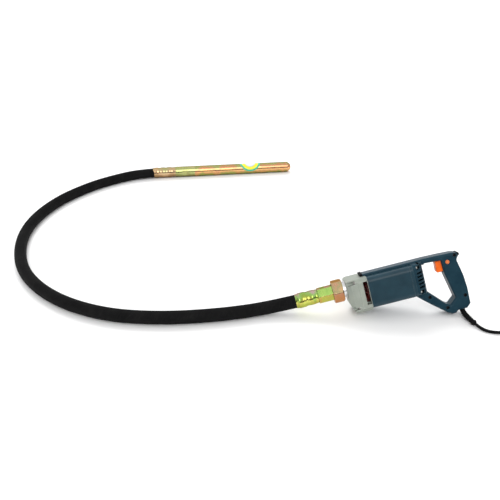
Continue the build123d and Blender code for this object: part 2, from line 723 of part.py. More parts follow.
UNIT_PIECES = {
    "gear_housing": gear_housing, "gear_housing_screws": gear_housing_screws, "bearing_plate": bearing_plate,
    "spindle_nose": spindle_nose, "spindle_bearing_front": spindle_bearing_front,
    "spindle_bearing_rear": spindle_bearing_rear, "output_spindle": output_spindle, "output_gear": output_gear,
    "motor_housing": motor_housing, "stator_core": stator_core, "field_coils": field_coils,
    "armature_shaft": armature_shaft, "armature_core": armature_core, "armature_windings": armature_windings,
    "commutator": commutator, "fan": fan, "motor_bearing_front": motor_bearing_front,
    "motor_bearing_rear": motor_bearing_rear, "brush_holders": brush_holders,
    "handle_shell_near": lambda: handle_shell(-1), "handle_shell_far": lambda: handle_shell(1),
    "handle_screws": handle_screws, "cap_screws": cap_screws, "rear_bumper": rear_bumper,
    "spine_bumper": spine_bumper, "switch_body": switch_body, "trigger": trigger, "trigger_pin": trigger_pin,
    "lock_button": lock_button, "cord_clamp": cord_clamp,
    "inner_lead": inner_lead, "coupling_nut": coupling_nut,
    "thrust_ring": thrust_ring, "hose_fitting": hose_fitting, "motor_ferrule": motor_ferrule,
    "drive_tang": drive_tang,
    "carbon_brush_near": lambda: carbon_brush(-1), "carbon_brush_far": lambda: carbon_brush(1),
    "brush_spring_near": lambda: brush_spring(-1), "brush_spring_far": lambda: brush_spring(1),
}

HEAD_PIECES = {
    "head_ferrule": head_ferrule, "head_joint": head_joint, "head_tube": head_tube, "head_tip": head_tip,
    "head_bearings": head_bearings, "head_seal": head_seal, "bearing_spacer": bearing_spacer,
    "eccentric_shaft": eccentric_shaft, "cable_end": cable_end,
}


def export(shape, name):
    export_step(shape, "parts/" + name + ".step")


def main():
    os.makedirs("parts", exist_ok=True)
    unit_shapes = {name: as_group(make()) for name, make in UNIT_PIECES.items()}
    low = min((unit_frame(0) * unit_shapes[name]).bounding_box().min.Z
              for name in ("gear_housing", "handle_shell_near", "handle_shell_far"))
    unit = unit_frame(-low)
    print("unit height", -low)
    placed = {name: unit * shape for name, shape in unit_shapes.items()}
    placed.update({name: HEAD_FRAME * as_group(make()) for name, make in HEAD_PIECES.items()})
    for name in ("gear_housing", "handle_shell_near", "handle_shell_far"):
        print(name, "lowest", placed[name].bounding_box().min.Z)
    route = hose_points(unit)
    placed["hose"] = tube(route, HOSE_R, "hose", HOSE_BORE_R)
    placed["drive_cable"] = tube(route, CABLE_R, "drive cable")
    placed["strain_relief"] = strain_relief(unit)
    placed["mains_lead"] = tube(LEAD_ROUTE, LEAD_R, "mains lead")
    placed["lead_coil"] = lead_coil()
    placed["lead_tail"] = tube(TAIL_ROUTE, LEAD_R, "lead tail")
    placed["coil_tie"] = coil_tie()
    placed["plug_body"] = plug_body()
    placed["plug_pins"] = as_group(plug_pins())
    for name, shape in placed.items():
        export(shape, name)
    soft = ("hose", "drive_cable", "mains_lead", "lead_coil", "lead_tail", "coil_tie", "plug_body", "plug_pins")
    box = Compound(children=[s for n, s in placed.items() if n not in soft]).bounding_box()
    print("rigid box", box.min, box.max, "centre", box.center())


main()
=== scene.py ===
import bpy
import math
from mathutils import Matrix, Vector


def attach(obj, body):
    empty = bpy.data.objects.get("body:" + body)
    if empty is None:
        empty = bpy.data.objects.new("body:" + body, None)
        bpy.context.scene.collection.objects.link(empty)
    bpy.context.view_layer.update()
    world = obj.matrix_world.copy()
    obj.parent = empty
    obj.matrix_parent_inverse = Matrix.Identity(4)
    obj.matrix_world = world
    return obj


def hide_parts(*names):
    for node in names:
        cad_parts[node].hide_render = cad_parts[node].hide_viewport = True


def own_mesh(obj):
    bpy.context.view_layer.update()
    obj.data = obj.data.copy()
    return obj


# Hand-held electric concrete vibrator. Metres, +Z up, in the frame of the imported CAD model.

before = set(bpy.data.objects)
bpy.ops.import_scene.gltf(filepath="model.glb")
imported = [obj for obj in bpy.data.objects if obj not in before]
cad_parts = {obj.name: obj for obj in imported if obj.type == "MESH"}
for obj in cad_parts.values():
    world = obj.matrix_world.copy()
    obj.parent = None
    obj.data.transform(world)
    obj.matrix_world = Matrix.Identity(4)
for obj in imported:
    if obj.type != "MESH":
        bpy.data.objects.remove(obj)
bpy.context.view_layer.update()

# ---------------------------------------------------------------- places shared with the CAD
LEAN = math.radians(21.0)
PITCH = math.radians(14.6)
UNIT_ORIGIN = Vector((0.1837, -0.3969, 0.056581))
UNIT_X = Vector((math.cos(PITCH), math.sin(LEAN) * math.sin(PITCH), math.cos(LEAN) * math.sin(PITCH)))
UNIT_Z = Vector((-math.sin(PITCH), math.sin(LEAN) * math.cos(PITCH), math.cos(LEAN) * math.cos(PITCH)))
UNIT_Y = UNIT_Z.cross(UNIT_X)
HEAD_YAW = math.radians(6.98)
HEAD_ORIGIN = Vector((-0.4225, 0.3880, 0.0175))
HEAD_X = Vector((math.cos(HEAD_YAW), math.sin(HEAD_YAW), 0.0))
HEAD_Y = Vector((-math.sin(HEAD_YAW), math.cos(HEAD_YAW), 0.0))
SPINDLE_Z = 0.0128

HOSE_R = 0.0155
CABLE_R = 0.0065
HOSE_ROUTE = [(0.058542, -0.403843, 0.038494), (-0.034358, -0.412515, 0.015902),
              (-0.150, -0.441, 0.0157), (-0.288, -0.455, 0.0157), (-0.425, -0.440, 0.0157),
              (-0.558, -0.374, 0.0157), (-0.664, -0.261, 0.0157), (-0.721, -0.112, 0.0157),
              (-0.730, 0.028, 0.0157), (-0.692, 0.163, 0.0157), (-0.622, 0.267, 0.0157),
              (-0.553, 0.331, 0.0157), (-0.467166, 0.382531, 0.0175), (-0.382796, 0.392861, 0.0175)]

LEAD_R = 0.0035
LEAD_ROUTE = [(0.420, -0.462, 0.0069), (0.428, -0.476, 0.0046), (0.443, -0.487, 0.0037),
              (0.463, -0.491, 0.0037), (0.488, -0.488, 0.0037), (0.512, -0.479, 0.0037),
              (0.534, -0.4735, 0.0040)]
TAIL_ROUTE = [(0.534, -0.5715, 0.0100), (0.519, -0.573, 0.0116), (0.503, -0.573, 0.0126)]
COIL_CENTRE = Vector((0.549, -0.522, 0.0))
COIL_RADII = [0.0505, 0.0435, 0.0365, 0.0295, 0.0330, 0.0400, 0.0470]
COIL_LEVELS = [0.0036, 0.0036, 0.0036, 0.0036, 0.0097, 0.0097, 0.0097]
COIL_TURNS = 6.5
COIL_POINTS = 18
PLUG_CENTRE = Vector((0.500, -0.573, 0.0126))


def unit_point(x, y, z):
    """A point of the drive unit, from its own millimetres to the frame."""
    return UNIT_ORIGIN + (UNIT_X * x + UNIT_Y * y + UNIT_Z * z) / 1000


# ---------------------------------------------------------------- camera
def make_camera():
    data = bpy.data.cameras.new("camera")
    data.sensor_width = 36.0
    data.lens = 42.62
    data.clip_end = 200.0
    camera = bpy.data.objects.new("camera", data)
    camera.location = (-0.0858, -1.532, 0.8155)
    camera.rotation_euler = (math.radians(60.0), 0.0, 0.0)
    bpy.context.scene.collection.objects.link(camera)
    bpy.context.scene.camera = camera


# ---------------------------------------------------------------- shader graphs
class Paint:
    """One material, built node by node round its Principled shader."""

    def __init__(self, name, metallic=0.0, specular=0.5):
        self.material = bpy.data.materials.new(name)
        self.material.use_nodes = True
        self.tree = self.material.node_tree
        self.shader = self.tree.nodes["Principled BSDF"]
        self.shader.inputs["Metallic"].default_value = metallic
        self.shader.inputs["Specular IOR Level"].default_value = specular
        self.place = self.node("ShaderNodeTexCoord").outputs["Object"]

    def node(self, kind, inputs=None, **settings):
        made = self.tree.nodes.new(kind)
        for key, value in settings.items():
            setattr(made, key, value)
        for key, value in (inputs or {}).items():
            if isinstance(value, bpy.types.NodeSocket):
                self.tree.links.new(value, made.inputs[key])
            else:
                made.inputs[key].default_value = value
        return made

    def noise(self, scale, detail=3.0, place=None):
        inputs = {"Vector": place or self.place, "Scale": scale, "Detail": detail}
        return self.node("ShaderNodeTexNoise", inputs).outputs["Fac"]

    def math(self, operation, first, second=0.0, third=0.0):
        inputs = {0: first, 1: second, 2: third}
        return self.node("ShaderNodeMath", inputs, operation=operation).outputs[0]

    def along(self, axis, origin=(0.0, 0.0, 0.0)):
        """Distance of the shaded point along an axis through origin."""
        moved = self.node("ShaderNodeVectorMath", {0: self.place, 1: tuple(origin)}, operation="SUBTRACT")
        inputs = {0: moved.outputs["Vector"], 1: tuple(axis)}
        return self.node("ShaderNodeVectorMath", inputs, operation="DOT_PRODUCT").outputs["Value"]

    def line(self, value):
        """A vector that changes only with value, for bands and turned lines."""
        return self.node("ShaderNodeCombineXYZ", {"X": value}).outputs["Vector"]

    def facing(self, direction):
        """How far the surface faces a fixed direction of the object, from -1 to 1."""
        normal = self.node("ShaderNodeTexCoord").outputs["Normal"]
        inputs = {0: normal, 1: tuple(direction)}
        return self.node("ShaderNodeVectorMath", inputs, operation="DOT_PRODUCT").outputs["Value"]

    def remap(self, value, low, high, start=0.0, end=1.0):
        inputs = {"Value": value, "From Min": start, "From Max": end, "To Min": low, "To Max": high}
        return self.node("ShaderNodeMapRange", inputs).outputs["Result"]

    def ramp(self, value, stops):
        made = self.node("ShaderNodeValToRGB", {"Fac": value})
        points = made.color_ramp.elements
        while len(points) < len(stops):
            points.new(0.5)
        for point, (position, colour) in zip(points, stops):
            point.position = position
            point.color = (*colour, 1.0)
        return made.outputs["Color"]

    def mix(self, factor, first, second):
        made = self.node("ShaderNodeMix", data_type="RGBA")
        for key, value in ((0, factor), (6, first), (7, second)):
            if isinstance(value, bpy.types.NodeSocket):
                self.tree.links.new(value, made.inputs[key])
            else:
                made.inputs[key].default_value = (*value, 1.0) if key else value
        return made.outputs[2]

    def edges(self, radius):
        """1 on the rounded edges of the piece and 0 on its flats."""
        gain = 6.0
        rounded = self.node("ShaderNodeBevel", {"Radius": radius}, samples=6).outputs["Normal"]
        flat = self.node("ShaderNodeNewGeometry").outputs["Normal"]
        inputs = {0: rounded, 1: flat}
        cosine = self.node("ShaderNodeVectorMath", inputs, operation="DOT_PRODUCT").outputs["Value"]
        turned = self.math("MULTIPLY", self.math("SUBTRACT", 1.0, cosine), gain)
        return self.math("MINIMUM", turned, 1.0)

    def set(self, **sockets):
        names = {"colour": "Base Color", "roughness": "Roughness"}
        for key, value in sockets.items():
            socket = self.shader.inputs[names.get(key, key)]
            if isinstance(value, bpy.types.NodeSocket):
                self.tree.links.new(value, socket)
            else:
                socket.default_value = value
        return self

    def bumps(self, *layers, soften=0.0):
        """Relief from (height, depth) layers, over edges softened by a small radius."""
        normal = None
        if soften:
            normal = self.node("ShaderNodeBevel", {"Radius": soften}, samples=6).outputs["Normal"]
        for height, depth in layers:
            inputs = {"Height": height, "Distance": depth, "Strength": 1.0}
            if normal:
                inputs["Normal"] = normal
            normal = self.node("ShaderNodeBump", inputs).outputs["Normal"]
        self.tree.links.new(normal, self.shader.inputs["Normal"])
        return self.material


def casing_material(name, dark, light, worn, specular):
    """Glass-filled nylon with a fine spark-eroded grain and paler, rubbed edges."""
    paint = Paint(name, specular=specular)
    cloud = paint.noise(38.0, 5.0)
    speck = paint.noise(2600.0, 1.0)
    body = paint.ramp(paint.remap(cloud, 0.0, 1.0, 0.35, 0.65), [(0.0, dark), (1.0, light)])
    body = paint.mix(paint.remap(speck, 0.0, 0.10, 0.50, 0.75), body, light)
    wear = paint.math("MULTIPLY", paint.edges(0.0009), paint.remap(paint.noise(120.0), 0.25, 0.9, 0.35, 0.65))
    paint.set(colour=paint.mix(wear, body, worn), roughness=paint.remap(paint.noise(420.0, 2.0), 0.26, 0.38))
    return paint.bumps((speck, 0.00006), (paint.noise(900.0, 2.0), 0.00008), soften=0.0007)


def alloy_material():
    """Die-cast aluminium, tumbled: a fine pitted grain with slightly brighter edges."""
    paint = Paint("cast_alloy", metallic=0.35, specular=0.5)
    cloud = paint.noise(24.0, 5.0)
    grain = paint.noise(1500.0, 3.0)
    body = paint.ramp(cloud, [(0.30, (0.27, 0.305, 0.27)), (0.55, (0.33, 0.36, 0.31)),
                              (0.75, (0.37, 0.395, 0.345))])
    body = paint.mix(paint.remap(grain, 0.0, 0.35, 0.45, 0.75), body, (0.21, 0.24, 0.21))
    shine = paint.math("MULTIPLY", paint.edges(0.0010), 0.55)
    paint.set(colour=paint.mix(shine, body, (0.80, 0.82, 0.78)), roughness=paint.remap(grain, 0.38, 0.58))
    return paint.bumps((grain, 0.00012), (cloud, 0.0004), soften=0.0008)


def zinc_material(name, origin, axis, across, stops, turn=0.45, crimp=0.0):
    """Yellow-passivated zinc on turned steel: the colour drifts along it and changes with the way the surface
    faces, a painted sheen and painted reflections.
    """
    paint = Paint(name, metallic=0.95)
    paint.set(**{"Specular Tint": (0.34, 0.27, 0.17, 1.0)})
    run = paint.along(axis, origin)
    lines = paint.noise(2400.0, 2.0, paint.line(run))
    bands = paint.remap(paint.noise(38.0, 2.0, paint.line(run)), -0.22, 0.22, 0.3, 0.7)
    drift = paint.remap(paint.noise(26.0, 4.0), -0.20, 0.20, 0.3, 0.7)
    # painted sheen and painted reflection: the colour follows which way the surface faces, towards across, as
    # strongly as turn
    sheen_by_facing = paint.math("MULTIPLY_ADD", paint.facing(across), turn, 0.5)
    body = paint.ramp(paint.math("ADD", sheen_by_facing, paint.math("ADD", bands, drift)), stops)
    body = paint.mix(paint.remap(lines, 0.0, 0.25, 0.45, 0.80), body, (0.24, 0.20, 0.10))
    rubbed = paint.math("MULTIPLY", paint.edges(0.0006), 0.6)
    paint.set(colour=paint.mix(rubbed, body, (0.88, 0.84, 0.66)), roughness=paint.remap(lines, 0.12, 0.24))
    wave = paint.math("SINE", paint.math("MULTIPLY", run, math.tau / 0.0205))
    return paint.bumps((lines, 0.00002), (paint.noise(140.0, 3.0), 0.00012), (wave, crimp), soften=0.0006)


def steel_material(name, colour, origin, axis, roughness=(0.18, 0.34)):
    """Turned steel with fine lines round its axis."""
    paint = Paint(name, metallic=1.0)
    lines = paint.noise(2600.0, 2.0, paint.line(paint.along(axis, origin)))
    cloud = paint.noise(60.0, 4.0)
    dark = tuple(channel * 0.72 for channel in colour)
    body = paint.mix(paint.remap(cloud, 0.0, 1.0, 0.3, 0.7), colour, dark)
    paint.set(colour=body, roughness=paint.remap(lines, *roughness))
    return paint.bumps((lines, 0.00004), soften=0.0003)


def laminated_material():
    """Stack of thin dark electrical-steel sheets across the motor axis."""
    paint = Paint("laminations", metallic=0.75)
    run = paint.along(UNIT_X, UNIT_ORIGIN)
    sheets = paint.math("SINE", paint.math("MULTIPLY", run, math.tau / 0.0007))
    sheets = paint.remap(sheets, 0.0, 1.0, -1.0, 1.0)
    spots = paint.noise(90.0, 4.0)
    body = paint.ramp(spots, [(0.35, (0.10, 0.10, 0.11)), (0.7, (0.20, 0.19, 0.18))])
    body = paint.mix(paint.math("MULTIPLY", sheets, 0.5), body, (0.05, 0.05, 0.055))
    paint.set(colour=body, roughness=paint.remap(spots, 0.35, 0.55))
    return paint.bumps((sheets, 0.00008))


def winding_material():
    """Lacquered copper wire laid side by side, red-brown where the lacquer is thick."""
    paint = Paint("windings", metallic=0.8)
    run = paint.along(UNIT_Z, UNIT_ORIGIN)
    wires = paint.math("SINE", paint.math("MULTIPLY", run, math.tau / 0.0009))
    wires = paint.remap(wires, 0.0, 1.0, -1.0, 1.0)
    blot = paint.noise(140.0, 3.0)
    body = paint.ramp(blot, [(0.35, (0.50, 0.10, 0.035)), (0.55, (0.72, 0.26, 0.12)),
                             (0.75, (0.80, 0.38, 0.20))])
    body = paint.mix(paint.remap(wires, 0.55, 0.0), body, (0.10, 0.02, 0.01))
    paint.set(colour=body, roughness=paint.remap(blot, 0.25, 0.4))
    return paint.bumps((wires, 0.00025))


def plain_material(name, colour, other, roughness, metallic=0.0, grain=1200.0, specular=0.4):
    """Moulded or pressed stuff with a fine grain and a slight change of shade."""
    paint = Paint(name, metallic=metallic, specular=specular)
    cloud = paint.noise(70.0, 4.0)
    fine = paint.noise(grain, 3.0)
    body = paint.mix(paint.remap(cloud, 0.0, 1.0, 0.35, 0.65), colour, other)
    paint.set(colour=body, roughness=paint.remap(fine, roughness - 0.07, roughness + 0.07))
    return paint.bumps((fine, 0.00006), soften=0.0004)


def hose_material():
    """Black rubber with the print of the cloth it was cured in, and grey scuffs along the wrap."""
    paint = Paint("hose_rubber", specular=0.05)
    sides = paint.node("ShaderNodeSeparateXYZ", {"Vector": paint.node("ShaderNodeUVMap").outputs["UV"]})
    length, girth = sides.outputs["X"], sides.outputs["Y"]
    pitch = math.tau / 0.0022
    first = paint.math("SINE", paint.math("MULTIPLY", paint.math("ADD", length, girth), pitch))
    second = paint.math("SINE", paint.math("MULTIPLY", paint.math("SUBTRACT", length, girth), pitch))
    weave = paint.remap(paint.math("MULTIPLY", first, second), 0.0, 1.0, -1.0, 1.0)
    wrap = paint.math("MULTIPLY_ADD", girth, 0.6, length)
    stretched = paint.node("ShaderNodeCombineXYZ", {
        "X": paint.math("MULTIPLY", wrap, 420.0),
        "Y": paint.math("MULTIPLY", girth, 60.0)})
    fibres = paint.noise(1.0, 4.0, stretched.outputs["Vector"])
    dust = paint.noise(30.0, 6.0)
    body = paint.ramp(dust, [(0.36, (0.0055, 0.0055, 0.0058)), (0.56, (0.0080, 0.0080, 0.0082)),
                             (0.72, (0.0115, 0.0113, 0.0110))])
    body = paint.mix(paint.remap(fibres, 0.0, 0.6, 0.52, 0.80), body, (0.024, 0.024, 0.0235))
    body = paint.mix(paint.remap(weave, 0.30, 0.0), body, (0.0045, 0.0045, 0.0047))
    paint.set(colour=body, roughness=paint.remap(fibres, 0.60, 0.78))
    return paint.bumps((weave, 0.00012), (fibres, 0.00025), (paint.noise(120.0, 3.0), 0.0006))


def lead_material():
    """Black rubber flex, faintly matt, with extrusion marks."""
    paint = Paint("lead_rubber", specular=0.05)
    cloud = paint.noise(90.0, 4.0)
    fine = paint.noise(1700.0, 3.0)
    body = paint.mix(paint.remap(cloud, 0.0, 1.0, 0.35, 0.65), (0.003, 0.003, 0.0033), (0.008, 0.008, 0.0084))
    paint.set(colour=body, roughness=paint.remap(fine, 0.42, 0.60))
    return paint.bumps((fine, 0.00005), (cloud, 0.0003))


def sticker_material():
    """Printed film: green rim, yellow band, thin blue line and pale middle, with no lettering."""
    paint = Paint("sticker_film", specular=0.5)
    uv = paint.node("ShaderNodeUVMap").outputs["UV"]
    inputs = {0: uv, 1: (0.0, 0.0, 0.0)}
    radius = paint.node("ShaderNodeVectorMath", inputs, operation="DISTANCE").outputs["Value"]
    wobble = paint.math("ADD", radius, paint.remap(paint.noise(900.0), -0.01, 0.01))
    rings = paint.ramp(wobble, [(0.0, (0.74, 0.80, 0.88)), (0.42, (0.80, 0.84, 0.90)),
                                (0.46, (0.30, 0.52, 0.86)), (0.49, (0.34, 0.55, 0.86)),
                                (0.52, (0.92, 0.80, 0.02)), (0.78, (0.94, 0.84, 0.03)),
                                (0.84, (0.05, 0.52, 0.30)), (1.0, (0.04, 0.46, 0.26))])
    paint.set(colour=rings, roughness=paint.remap(paint.noise(260.0), 0.22, 0.34))
    return paint.bumps((paint.noise(500.0, 2.0), 0.00004))


def strap_material():
    """Woven hook-and-loop tape."""
    paint = Paint("strap_weave", specular=0.2)
    cross = paint.math("SINE", paint.math("MULTIPLY", paint.along((0.0, 0.0, 1.0)), math.tau / 0.0011))
    warp = paint.math("SINE", paint.math("MULTIPLY", paint.along((0.87, 0.5, 0.0)), math.tau / 0.0011))
    weave = paint.remap(paint.math("MULTIPLY", cross, warp), 0.0, 1.0, -1.0, 1.0)
    body = paint.ramp(weave, [(0.2, (0.008, 0.008, 0.010)), (0.8, (0.035, 0.035, 0.040))])
    paint.set(colour=body, roughness=paint.remap(paint.noise(700.0), 0.75, 0.95))
    return paint.bumps((weave, 0.0002), (paint.noise(1500.0), 0.00015))


# ---------------------------------------------------------------- mesh helpers
def add_object(name, vertices, faces, material, uvs=None):
    """Smooth-shaded mesh object. uvs has one pair for each corner of each face."""
    mesh = bpy.data.meshes.new(name)
    mesh.from_pydata([tuple(v) for v in vertices], [], faces)
    if uvs:
        layer = mesh.uv_layers.new(name="UVMap")
        for loop in mesh.loops:
            layer.data[loop.index].uv = uvs[loop.index]
    mesh.polygons.foreach_set("use_smooth", [True] * len(mesh.polygons))
    mesh.materials.append(material)
    mesh.validate()
    made = bpy.data.objects.new(name, mesh)
    bpy.context.scene.collection.objects.link(made)
    return made


def nurbs_curve(name, route, radius=0.0):
    """One smooth open spline with the route's points as its control points."""
    curve = bpy.data.curves.new(name, "CURVE")
    curve.dimensions = "3D"
    curve.resolution_u = 12
    curve.bevel_depth = radius
    curve.bevel_resolution = 7
    curve.use_fill_caps = True
    spline = curve.splines.new("NURBS")
    spline.points.add(len(route) - 1)
    for point, place in zip(spline.points, route):
        point.co = (*place, 1.0)
    spline.order_u = 3
    spline.use_endpoint_u = True
    made = bpy.data.objects.new(name, curve)
    bpy.context.scene.collection.objects.link(made)
    return made


def followed_points(route):
    """Points along the route's own smooth spline."""
    guide = nurbs_curve("guide", route)
    line = bpy.data.meshes.new_from_object(guide)
    points = [vertex.co.copy() for vertex in line.vertices]
    bpy.data.objects.remove(guide)
    bpy.data.meshes.remove(line)
    return points


def evenly(points, step):
    """The same line with points a fixed step apart."""
    total = sum((b - a).length for a, b in zip(points, points[1:]))
    count = max(2, round(total / step))
    spaced, walked, index = [points[0]], 0.0, 0
    for number in range(1, count):
        wanted = total * number / count
        while walked + (points[index + 1] - points[index]).length < wanted:
            walked += (points[index + 1] - points[index]).length
            index += 1
        share = (wanted - walked) / (points[index + 1] - points[index]).length
        spaced.append(points[index].lerp(points[index + 1], share))
    return spaced + [points[-1]]


def swept_tube(name, points, radius_at, material, sides=40):
    """Tube along points. radius_at gives its radius at a distance; UVs are in metres."""
    side = (points[1] - points[0]).cross(Vector((0.0, 0.0, 1.0))).normalized()
    vertices, walked, runs = [], 0.0, []
    for index, point in enumerate(points):
        ahead = points[min(index + 1, len(points) - 1)] - points[max(index - 1, 0)]
        ahead.normalize()
        side = (side - ahead * side.dot(ahead)).normalized()
        up = ahead.cross(side)
        if index:
            walked += (point - points[index - 1]).length
        runs.append(walked)
        radius = radius_at(walked)
        for number in range(sides):
            angle = math.tau * number / sides
            vertices.append(point + (side * math.cos(angle) + up * math.sin(angle)) * radius)
    faces, uvs = [], []
    girth = math.tau * radius_at(0.0) / sides
    for ring in range(len(points) - 1):
        for number in range(sides):
            following = (number + 1) % sides
            faces.append((ring * sides + number, ring * sides + following,
                          (ring + 1) * sides + following, (ring + 1) * sides + number))
            uvs += [(runs[ring], number * girth), (runs[ring], (number + 1) * girth),
                    (runs[ring + 1], (number + 1) * girth), (runs[ring + 1], number * girth)]
    last = (len(points) - 1) * sides
    for cap in (list(reversed(range(sides))), list(range(last, last + sides))):
        faces.append(tuple(cap))
        uvs += [(0.0, 0.0)] * sides
    return add_object(name, vertices, faces, material, uvs)


def lofted(name, rings, material):
    """Closed body through rings with the same number of points."""
    count = len(rings[0])
    vertices = [point for ring in rings for point in ring]
    faces = []
    for index in range(len(rings) - 1):
        for number in range(count):
            following = (number + 1) % count
            faces.append((index * count + number, (index + 1) * count + number,
                          (index + 1) * count + following, index * count + following))
    faces.append(tuple(range(count)))
    faces.append(tuple(reversed(range((len(rings) - 1) * count, len(rings) * count))))
    return add_object(name, vertices, faces, material)


# ---------------------------------------------------------------- cords
def smoothstep(value):
    clamped = min(max(value, 0.0), 1.0)
    return clamped * clamped * (3 - 2 * clamped)


def coil_points():
    """Turns of the stored lead: four on the floor from outside in, then back out on top of them."""
    floor_turns, step_from, hop_from, hop = 4, 0.70, 0.65, 0.0009
    points = []
    for number in range(int(COIL_TURNS * COIL_POINTS) + 1):
        turn, share = divmod(number / COIL_POINTS, 1.0)
        here = int(turn)
        after = min(here + 1, len(COIL_RADII) - 1)
        step = smoothstep((share - step_from) / (1.0 - step_from))
        radius = COIL_RADII[here] + (COIL_RADII[after] - COIL_RADII[here]) * step
        radius /= math.cos(math.pi / COIL_POINTS)
        level = COIL_LEVELS[here] + (COIL_LEVELS[after] - COIL_LEVELS[here]) * step
        if here >= floor_turns:
            level += hop * math.sin(math.pi * min(max((share - hop_from) / (1.0 - hop_from), 0.0), 1.0))
        angle = math.pi / 2 - math.tau * share
        points.append(COIL_CENTRE + Vector((radius * math.cos(angle), radius * math.sin(angle), level)))
    return points


def make_hose(cable_material):
    """Rubber hose with its ends held inside the ferrules, and the drive cable along its middle."""
    points = evenly(followed_points(HOSE_ROUTE), 0.0035)
    hose = swept_tube("hose_cover", points, lambda run: HOSE_R, hose_material(), 56)
    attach(hose, "tool")
    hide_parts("hose")
    cable = swept_tube("cable_core", points[1:-1], lambda run: CABLE_R, cable_material, 24)
    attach(cable, "tool")
    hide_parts("drive_cable")


def make_lead():
    """Mains lead: along the floor, into its coil and out to the plug."""
    route = [Vector(point) for point in LEAD_ROUTE] + coil_points() + [Vector(point) for point in TAIL_ROUTE]
    lead = nurbs_curve("lead_flex", route, LEAD_R)
    lead.data.materials.append(lead_material())
    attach(lead, "tool")
    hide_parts("mains_lead", "lead_coil", "lead_tail")


def make_strain_relief(material):
    """Sleeve that tapers from the heel of the grip, ringed with grooves, with a bead at its mouth."""
    route = [unit_point(201, 0, -84.5), unit_point(201.5, -1, -105.5), Vector((0.4095, -0.440, 0.0084)),
             Vector(LEAD_ROUTE[0])]
    step, mouth_r, sleeve_r, taper = 0.0005, 0.0036, 0.0052, 0.0009
    ring_pitch, ring_height, groove_depth = 0.0046, 0.0011, 0.0004
    rings_from, rings_to = 0.34, 0.84
    bead_height, bead_at, bead_width = 0.0014, 0.93, 0.038
    points = evenly(followed_points(route), step)
    total = len(points) * step

    def radius_at(run):
        share = run / total
        sleeve = sleeve_r + taper * (1 - share)
        if rings_from < share < rings_to:
            sleeve += ring_height * (0.5 - 0.5 * math.cos(math.tau * run / ring_pitch)) - groove_depth
        bead = bead_height * math.exp(-((share - bead_at) / bead_width) ** 2)
        end = smoothstep((1.0 - share) / 0.02)
        return mouth_r + (sleeve + bead - mouth_r) * end

    relief = swept_tube("relief_sleeve", points, radius_at, material, 32)
    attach(relief, "tool")
    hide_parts("strain_relief")
    return relief


def make_plug(material):
    """Flat two-pin plug: waisted grip with finger ribs and a ringed neck."""
    # distance from the neck, half width, half height and how square the section is
    stations = [(-0.0050, 0.0048, 0.0048, 2.0), (-0.0042, 0.0050, 0.0050, 2.0),
                (-0.0034, 0.0046, 0.0046, 2.0), (-0.0026, 0.0050, 0.0050, 2.0),
                (-0.0018, 0.0046, 0.0046, 2.0), (-0.0010, 0.0052, 0.0050, 2.0),
                (0.0000, 0.0075, 0.0065, 2.2), (0.0012, 0.0118, 0.0090, 2.6), (0.0030, 0.0142, 0.0108, 3.0),
                (0.0060, 0.0150, 0.0114, 3.2), (0.0090, 0.0146, 0.0110, 3.2), (0.0105, 0.0136, 0.0103, 3.2),
                (0.0115, 0.0144, 0.0109, 3.2), (0.0140, 0.0142, 0.0107, 3.2), (0.0150, 0.0133, 0.0101, 3.2),
                (0.0160, 0.0143, 0.0108, 3.2), (0.0185, 0.0146, 0.0110, 3.2), (0.0195, 0.0138, 0.0105, 3.2),
                (0.0205, 0.0150, 0.0113, 3.2), (0.0240, 0.0162, 0.0117, 3.4), (0.0300, 0.0168, 0.0119, 3.6),
                (0.0328, 0.0168, 0.0119, 3.6), (0.0338, 0.0163, 0.0114, 3.6), (0.0340, 0.0155, 0.0106, 3.6)]
    rings = []
    for run, half_width, half_height, power in stations:
        ring = []
        for number in range(48):
            angle = math.tau * number / 48
            wide = math.copysign(abs(math.cos(angle)) ** (2 / power), math.cos(angle))
            high = math.copysign(abs(math.sin(angle)) ** (2 / power), math.sin(angle))
            ring.append(PLUG_CENTRE + Vector((-run, wide * half_width, high * half_height)))
        rings.append(ring)
    plug = lofted("plug_moulding", rings, material)
    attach(plug, "tool")
    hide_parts("plug_body")
    return plug


def make_tie():
    """Hook-and-loop strap once round the turns, with its end lapped over the top."""
    half_w, thick, corner, corner_steps = 0.0050, 0.0009, 0.0030, 6
    inner, outer, base, top = 0.0249, 0.0551, 0.0010, 0.0150
    lap_half_w, lap_from, lap_to = 0.0047, inner + 0.006, outer - 0.009
    outline = []
    corners = [(inner, base, math.pi), (inner, top, math.pi / 2),
               (outer, top, 0.0), (outer, base, -math.pi / 2)]
    for x, z, start in corners:
        centre_x = x + (corner if x == inner else -corner)
        centre_z = z + (corner if z == base else -corner)
        for number in range(corner_steps + 1):
            angle = start - math.pi / 2 * number / corner_steps
            outline.append((centre_x + corner * math.cos(angle), centre_z + corner * math.sin(angle)))
    turn = Matrix.Rotation(math.radians(-60), 4, "Z")
    vertices, faces = [], []
    count = len(outline)
    middle = ((inner + outer) / 2, (base + top) / 2)
    for x, z in outline:
        away = Vector((x - middle[0], z - middle[1])).normalized() * thick / 2
        for side in (-half_w, half_w):
            for sign in (-1, 1):
                place = Vector((side, x + away.x * sign, z + away.y * sign))
                vertices.append(COIL_CENTRE + turn @ place)
    for index in range(count):
        a, b = index * 4, ((index + 1) % count) * 4
        faces += [(a, a + 2, b + 2, b), (a + 3, a + 1, b + 1, b + 3),
                  (a + 1, a, b, b + 1), (a + 2, a + 3, b + 3, b + 2)]
    lap_start = len(vertices)
    for y in (lap_from, lap_to):
        for side in (-lap_half_w, lap_half_w):
            for lift in (-thick / 2, thick / 2):
                vertices.append(COIL_CENTRE + turn @ Vector((side, y, top + thick + lift)))
    faces += [tuple(lap_start + corner_index for corner_index in quad) for quad in
              ((0, 1, 3, 2), (4, 6, 7, 5), (0, 4, 5, 1), (2, 3, 7, 6), (1, 5, 7, 3), (0, 2, 6, 4))]
    tie = add_object("tie_strap", vertices, faces, strap_material())
    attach(tie, "tool")
    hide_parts("coil_tie")
    return tie


